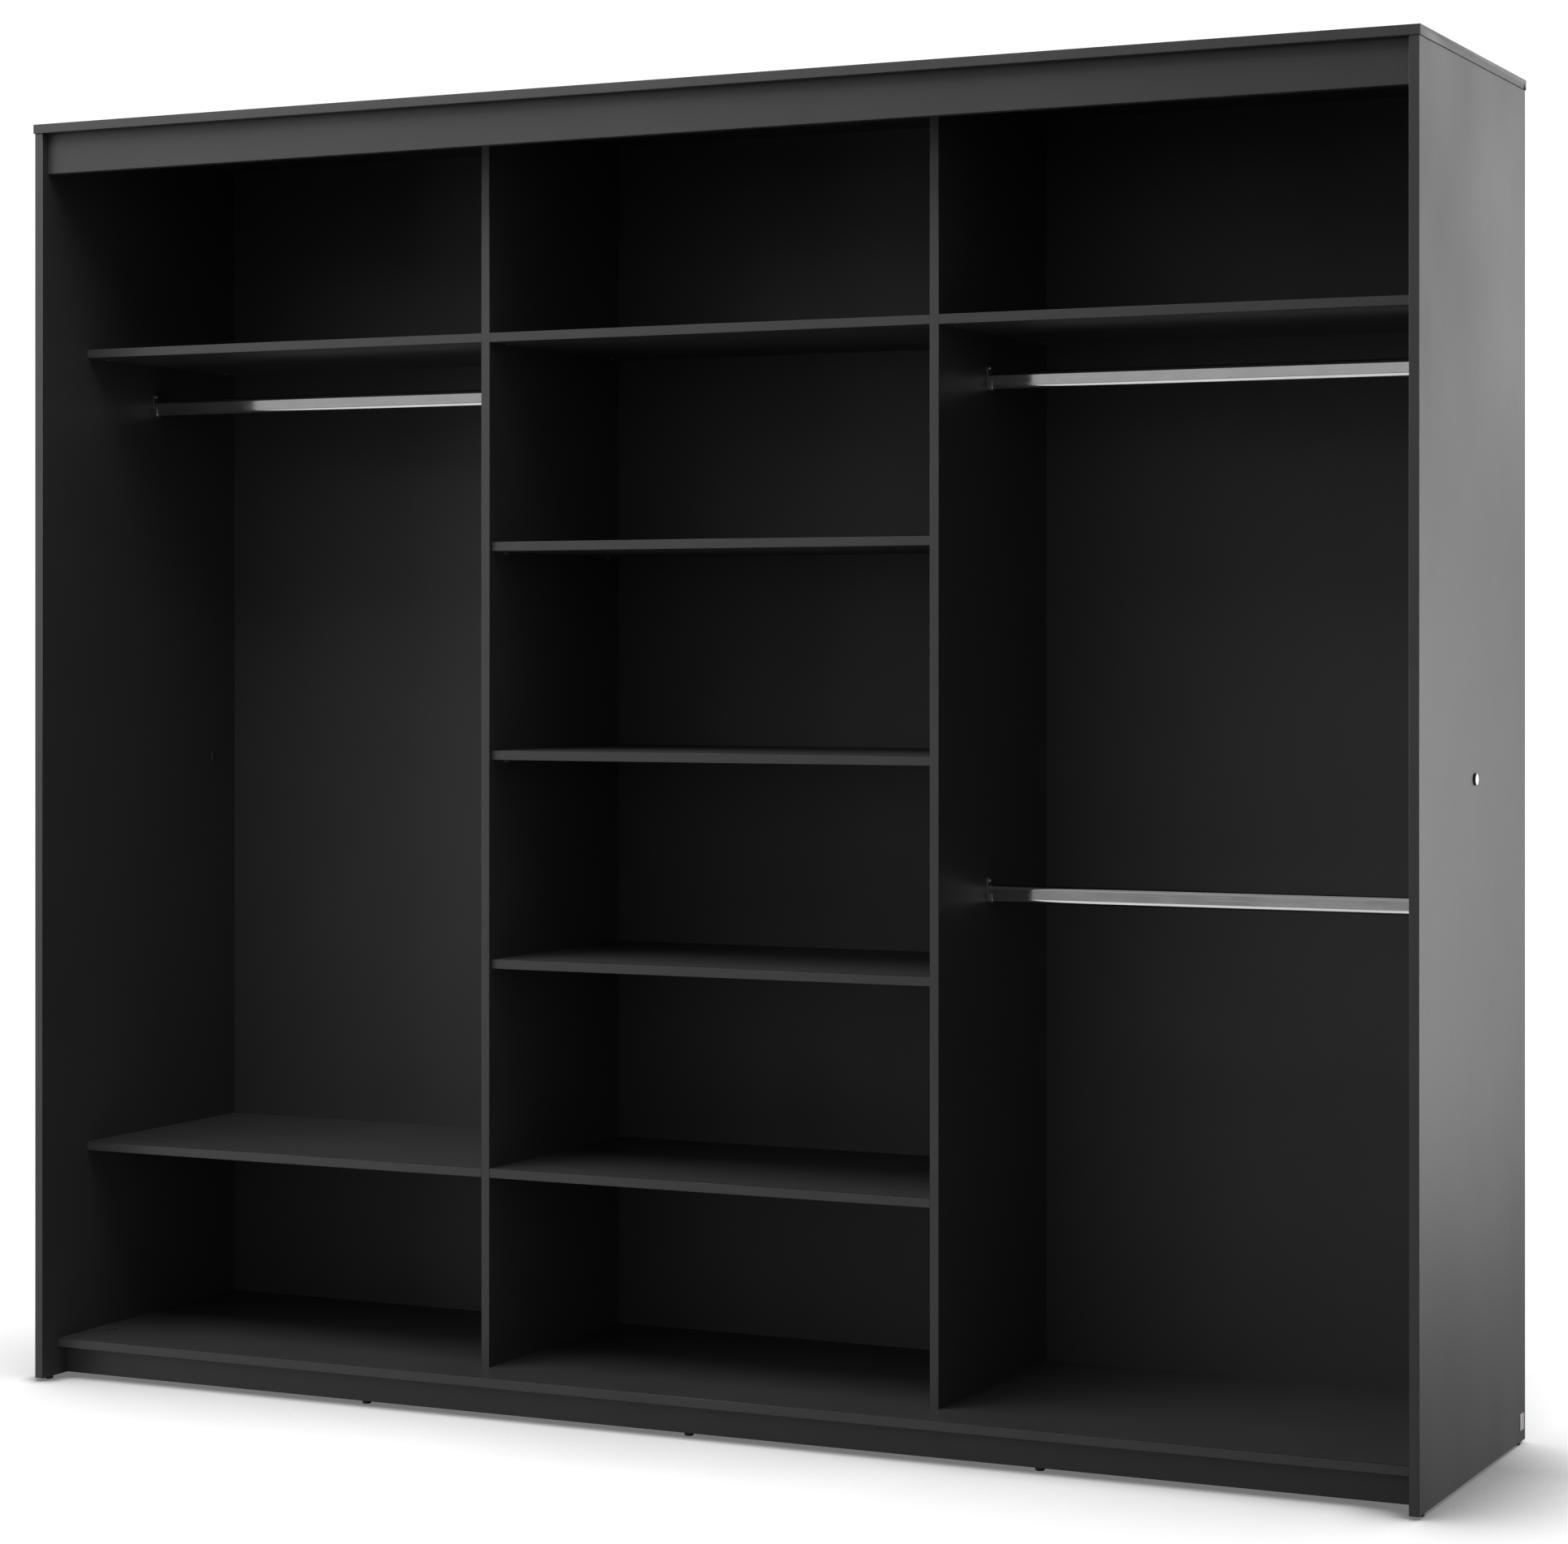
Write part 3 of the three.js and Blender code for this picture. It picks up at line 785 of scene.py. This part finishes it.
def connector(name, centre, axis):
    """Round housing of a shelf connector, let into the board, with its screw in the middle."""
    profile = scaled(CONNECTOR_PROFILE, CONNECTOR_RADIUS, CONNECTOR_RISE)
    bm = bmesh.new()
    lathe(bm, profile, centre, axis)
    add_piece(
        f"{name}_housing", bm, "carcass", [GREY_PLASTIC], sharp=SMOOTH_ANGLE
    )
    bm = bmesh.new()
    seat = centre + Vector(axis) * CONNECTOR_FLOOR * CONNECTOR_RISE
    cross_head(bm, seat, axis, CONNECTOR_SCREW_RADIUS, CONNECTOR_SCREW_RISE)
    add_piece(f"{name}_screw", bm, "carcass", [STEEL], sharp=SMOOTH_ANGLE)


for shelf in FIXED_SHELVES:
    low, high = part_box(shelf)
    spots = [
        (x, y)
        for x in (low.x + CONNECTOR_INSET, high.x - CONNECTOR_INSET)
        for y in (low.y + CONNECTOR_FRONT, high.y - CONNECTOR_REAR)
    ]
    for number, (x, y) in enumerate(spots, 1):
        connector(f"{shelf}_connector_{number}", Vector((x, y, low.z)), (0, 0, -1))

BASE_CAM_RADIUS = 10 * MM
BASE_CAM_RISE = 1.4 * MM
TOP_CAM_RADIUS = 7.5 * MM
TOP_CAM_RISE = 0.6 * MM
CAM_FACE_ON = 0.9
CAM_PROFILE = ((0.0, 0.0), (1.0, 0.0), (1.0, 0.80), (0.97, 1.0), (0.0, 1.0))
CAM_INSET = 33 * MM
BASE_CAM_YS = (BASE_FRONT_Y + 112 * MM, REAR_Y - 83 * MM)
TOP_CAM_Y = REAR_Y - 88 * MM


def cam(name, centre, axis, radius, rise):
    """Cover cap of a cam: a low disc in the colour of the board, its edge painted black as the
    shade in the gap around it.
    """
    bm = bmesh.new()
    lathe(bm, scaled(CAM_PROFILE, radius, rise), centre, axis)

    # The side faces of the cap get black plastic: painted shade for the gap around it.
    def pick(part):
        return 0 if part.normal.dot(Vector(axis)) > CAM_FACE_ON else 1

    add_piece(name, bm, "carcass", [COVER, BLACK], pick, sharp=SMOOTH_ANGLE)


for side, wall, inward in (("left", LEFT_INNER_X, 1), ("right", RIGHT_INNER_X, -1)):
    for end, y in zip(("front", "rear"), BASE_CAM_YS):
        seat = Vector((wall + inward * CAM_INSET, y, BASE_TOP_Z))
        cam(f"base_cam_{side}_{end}", seat, (0, 0, 1), BASE_CAM_RADIUS, BASE_CAM_RISE)
    seat = Vector((wall, TOP_CAM_Y, TOP_UNDERSIDE_Z - CAM_INSET))
    cam(f"top_cam_{side}", seat, (inward, 0, 0), TOP_CAM_RADIUS, TOP_CAM_RISE)

# ---- Small clips at mid-height inside the sides ----

CLIP_SIZE = Vector((4.5 * MM, 12 * MM, 16 * MM))
CLIP_Y = REAR_Y - 96 * MM
CLIP_Z = BASE_TOP_Z + 1007 * MM
CLIP_PROFILE = ((0.0, 0.0), (1.0, 0.0), (1.0, 0.35), (0.45, 0.45), (0.45, 1.0), (0.0, 1.0))
CLIP_STEP = 0.40
CLIP_ARRIS = 0.5 * MM
CLIP_SCREW_Y = REAR_Y - 53 * MM
CLIP_SCREW_Z = BASE_TOP_Z + 1036 * MM
CLIP_SCREW_RADIUS = 3.0 * MM
CLIP_SCREW_RISE = 1.2 * MM


def clip(side, wall, inward):
    """A small moulded block with a step behind its front, painted black as the shade there, and a
    screw farther back.
    """
    bm = bmesh.new()
    section = scaled(CLIP_PROFILE, CLIP_SIZE.x, CLIP_SIZE.y)
    levels = [
        [bm.verts.new((wall + inward * u, CLIP_Y + v, CLIP_Z + z)) for u, v in section]
        for z in (0.0, CLIP_SIZE.z)
    ]
    lower, upper = levels
    bm.faces.new(lower)
    bm.faces.new(upper)
    for i in range(len(section)):
        j = (i + 1) % len(section)
        bm.faces.new((lower[i], lower[j], upper[j], upper[i]))
    bmesh.ops.recalc_face_normals(bm, faces=bm.faces)
    soften(bm, CLIP_ARRIS)
    step = CLIP_Y + CLIP_STEP * CLIP_SIZE.y

    # Faces behind the step get black plastic: painted shade.
    def pick(part):
        return 1 if part.calc_center_median().y > step else 0

    finishes = [COVER, BLACK]
    name = f"middle_clip_{side}"
    add_piece(name, bm, "carcass", finishes, pick, sharp=SMOOTH_ANGLE)
    bm = bmesh.new()
    seat = Vector((wall, CLIP_SCREW_Y, CLIP_SCREW_Z))
    cross_head(bm, seat, (inward, 0, 0), CLIP_SCREW_RADIUS, CLIP_SCREW_RISE)
    name = f"middle_screw_{side}"
    add_piece(name, bm, "carcass", [DARK_STEEL], sharp=SMOOTH_ANGLE)


clip("left", LEFT_INNER_X, 1)
clip("right", RIGHT_INNER_X, -1)

# ---- Camera ----

EYE = Vector((2.7977, -5.7468, 1.2821))
HEADING = 0.44401
LENS = 86.82
SENSOR = 36.0
HORIZON_SHIFT = -0.0769
NEAREST, FARTHEST = 0.1, 200.0

camera_data = bpy.data.cameras.new("camera")
camera_data.sensor_width = SENSOR
camera_data.lens = LENS
camera_data.shift_y = HORIZON_SHIFT
camera_data.clip_start, camera_data.clip_end = NEAREST, FARTHEST
camera = bpy.data.objects.new("camera", camera_data)
camera.location = EYE
camera.rotation_euler = (math.pi / 2, 0.0, HEADING)
bpy.context.scene.collection.objects.link(camera)
bpy.context.scene.camera = camera

# ---- Floor ----

WHITE = (1.0, 1.0, 1.0)
FLOOR_HALF = 30.0
FLOOR_ALBEDO = 0.48
# Each pair: in front of the wardrobe, and beside its right side.
SHADE_BLEND_X = (1.12, 1.26)
SHADE_REACH = (0.90, 0.30)
SHADE_DEPTH_IN_FRONT = 1.0
SHADE_SAMPLES = 12
CONTACT_REACH = 0.037
CONTACT_DEPTH = (1.95, 0.0)
DARKEST_FLOOR = 0.17
# The floor is painted a little lighter on the left, standing in for the light from that side.
WHITE_BLEND_X = (0.10, 0.50)
FLOOR_WHITE = (1.22, 1.08)
# How deep the painted shade beside the right side is, from this Y to the rear.
SHADE_FADE_Y = (0.09, 0.29)
SHADE_DEPTH_BESIDE = (2.2, 0.95)


def floor_material():
    """Pale matte floor, seen brighter than the light it throws back on to the boards: the camera
    sees a glow with shadow painted in from ambient occlusion near the wardrobe.
    """
    p = Paint("pale_floor", 0.9, specular=0.0)
    tint = p.remap(p.noise(2.0, 3.0), 0.3, 0.7, 0.99, 1.0)
    grey = p.mix(1.0, shade((FLOOR_ALBEDO,) * 3), tint, "MULTIPLY")
    p.finish(grey)
    spot = p.node("ShaderNodeSeparateXYZ")
    p.set(spot, 0, p.place)

    def across(pair, blend=SHADE_BLEND_X):
        return p.remap(spot.outputs["X"], *blend, *pair)

    def painted_shadow(reach, depth):
        # Painted shadow: ambient occlusion within a reach, raised to a power.
        shade_node = p.node("ShaderNodeAmbientOcclusion", samples=SHADE_SAMPLES)
        p.set(shade_node, "Distance", reach)
        return p.math("POWER", shade_node.outputs["AO"], depth)

    beside = p.remap(spot.outputs["Y"], *SHADE_FADE_Y, *SHADE_DEPTH_BESIDE)
    share = across((0.0, 1.0))
    depth = p.math(
        "ADD",
        p.math("MULTIPLY", share, beside),
        across((SHADE_DEPTH_IN_FRONT, 0.0)),
    )
    white = across(FLOOR_WHITE, WHITE_BLEND_X)
    broad = p.math("MULTIPLY", painted_shadow(across(SHADE_REACH), depth), white)
    contact = painted_shadow(CONTACT_REACH, across(CONTACT_DEPTH))
    # To the camera the floor is a glow whose strength carries the painted shadow.
    seen = p.node("ShaderNodeEmission")
    p.set(seen, "Color", p.mix(1.0, shade(WHITE), tint, "MULTIPLY"))
    brightness = p.math("MULTIPLY", broad, contact)
    p.set(seen, "Strength", p.math("MAXIMUM", brightness, DARKEST_FLOOR))
    blend = p.node("ShaderNodeMixShader")
    p.set(blend, 0, p.node("ShaderNodeLightPath").outputs["Is Camera Ray"])
    p.set(blend, 1, p.surface.outputs[0])
    p.set(blend, 2, seen.outputs[0])
    sink = next(n for n in p.tree.nodes if n.type == "OUTPUT_MATERIAL")
    p.set(sink, "Surface", blend.outputs[0])
    return p.material


def make_floor():
    mesh = bpy.data.meshes.new("floor")
    corners = [(-1, -1), (1, -1), (1, 1), (-1, 1)]
    points = [(FLOOR_HALF * u, FLOOR_HALF * v, 0.0) for u, v in corners]
    mesh.from_pydata(points, [], [(0, 1, 2, 3)])
    mesh.materials.append(floor_material())
    floor = bpy.data.objects.new("floor", mesh)
    bpy.context.scene.collection.objects.link(floor)


make_floor()

# ---- Light ----

METAL_PIECES = ("rail_tube_", "rail_holder_", "rail_screw_", "pin_", "round_cap_")

# name: (centre, point it faces, width, height, brightness, what it lights)
SOFT_BOXES = {
    "top_box": ((-1.0, -1.2, 4.0), (-1.0, -1.2, 0.0), 3.0, 3.0, 3.6, "room"),
    "key_box": ((-2.2, -2.4, 3.6), (-0.9, -0.6, 1.4), 2.5, 2.5, 1.0, "room"),
    "left_box": ((-4.0, -2.6, 1.2), (0.0, -0.3, 0.9), 2.5, 2.2, 1.05, "room"),
    "right_box": ((2.2, 0.85, 0.9), (1.25, 0.85, 0.9), 1.8, 1.4, 4.4, "boards"),
    "right_rear_box": ((2.2, 2.4, 2.4), (1.25, 2.4, 2.4), 1.8, 1.4, 3.5, "boards"),
    "rear_box": ((-2.6, 3.6, 2.6), (-0.4, 0.3, 1.1), 3.0, 3.0, 1.5, "room"),
    "metal_front_card": ((-2.0, -5.0, 2.5), (-2.0, 0.0, 2.5), 6.4, 1.4, 0.15, "metal"),
    "metal_low_card": ((-2.0, -5.0, 0.43), (-2.0, 0.0, 0.43), 6.4, 0.82, 0.22, "metal"),
    "metal_floor_card": ((-1.5, -4.4, 0.02), (-1.5, -4.4, 1.0), 9.0, 8.0, 0.70, "metal"),
    "metal_side_card": ((2.6, 5.0, 1.1), (2.6, 0.0, 1.1), 3.0, 3.0, 1.0, "metal"),
}


def lit_sets():
    """What each kind of soft box lights: polished metal has soft boxes of its own."""
    kinds = ("room", "boards", "metal")
    sets = {kind: bpy.data.collections.new(f"lit_{kind}") for kind in kinds}
    for piece in bpy.data.objects:
        if piece.type != "MESH":
            continue
        if piece.name.startswith(METAL_PIECES):
            sets["metal"].objects.link(piece)
            continue
        sets["room"].objects.link(piece)
        if piece.name != "floor":
            sets["boards"].objects.link(piece)
    return sets


def soft_box(name, centre, target, width, height, brightness, lit):
    data = bpy.data.lights.new(name, "AREA")
    data.shape = "RECTANGLE"
    data.size, data.size_y = width, height
    data.energy = math.pi * width * height * brightness
    lamp = bpy.data.objects.new(name, data)
    aim = Vector(target) - Vector(centre)
    turn = aim.to_track_quat("-Z", "Y").to_matrix().to_4x4()
    lamp.matrix_world = Matrix.Translation(centre) @ turn
    lamp.visible_camera = False
    bpy.context.scene.collection.objects.link(lamp)
    lamp.light_linking.receiver_collection = lit


LIT = lit_sets()
for box_name, (*settings, kind) in SOFT_BOXES.items():
    soft_box(box_name, *settings, LIT[kind])

ROOM_SEEN = 1.1
GLOW_LOW, GLOW_HIGH = 0.33, 0.03
FADE_HEIGHTS = (0.2, 0.7)
SHINE_LOW, SHINE_HIGH = 0.35, 0.03
SHINE_HEIGHTS = (0.88, 0.97)


def make_room():
    """White to the camera. To the boards a glow that fades from the horizon up."""
    world = bpy.data.worlds.new("studio")
    world.use_nodes = True
    tree = world.node_tree
    direction = tree.nodes.new("ShaderNodeTexCoord")
    split = tree.nodes.new("ShaderNodeSeparateXYZ")
    tree.links.new(direction.outputs["Generated"], split.inputs[0])
    fade = tree.nodes.new("ShaderNodeMapRange")
    tree.links.new(split.outputs["Z"], fade.inputs["Value"])
    ray = tree.nodes.new("ShaderNodeLightPath")
    choice = tree.nodes.new("ShaderNodeMix")
    tree.links.new(ray.outputs["Is Glossy Ray"], choice.inputs[0])
    tree.links.new(fade.outputs["Result"], choice.inputs[2])
    shine = tree.nodes.new("ShaderNodeMapRange")
    tree.links.new(split.outputs["Z"], shine.inputs["Value"])
    tree.links.new(shine.outputs["Result"], choice.inputs[3])
    for ramp, heights, levels in (
        (fade, FADE_HEIGHTS, (GLOW_LOW, GLOW_HIGH)),
        (shine, SHINE_HEIGHTS, (SHINE_LOW, SHINE_HIGH)),
    ):
        for name, number in zip(RAMP_INPUTS, (*heights, *levels)):
            ramp.inputs[name].default_value = number
    glow = tree.nodes["Background"]
    glow.inputs["Color"].default_value = shade(WHITE)
    tree.links.new(choice.outputs[0], glow.inputs["Strength"])
    white = tree.nodes.new("ShaderNodeBackground")
    white.inputs["Color"].default_value = shade(WHITE)
    white.inputs["Strength"].default_value = ROOM_SEEN
    blend = tree.nodes.new("ShaderNodeMixShader")
    tree.links.new(ray.outputs["Is Camera Ray"], blend.inputs[0])
    tree.links.new(glow.outputs[0], blend.inputs[1])
    tree.links.new(white.outputs[0], blend.inputs[2])
    sink = next(n for n in tree.nodes if n.type == "OUTPUT_WORLD")
    tree.links.new(blend.outputs[0], sink.inputs["Surface"])
    bpy.context.scene.world = world


make_room()
bpy.context.scene.view_settings.view_transform = "Standard"
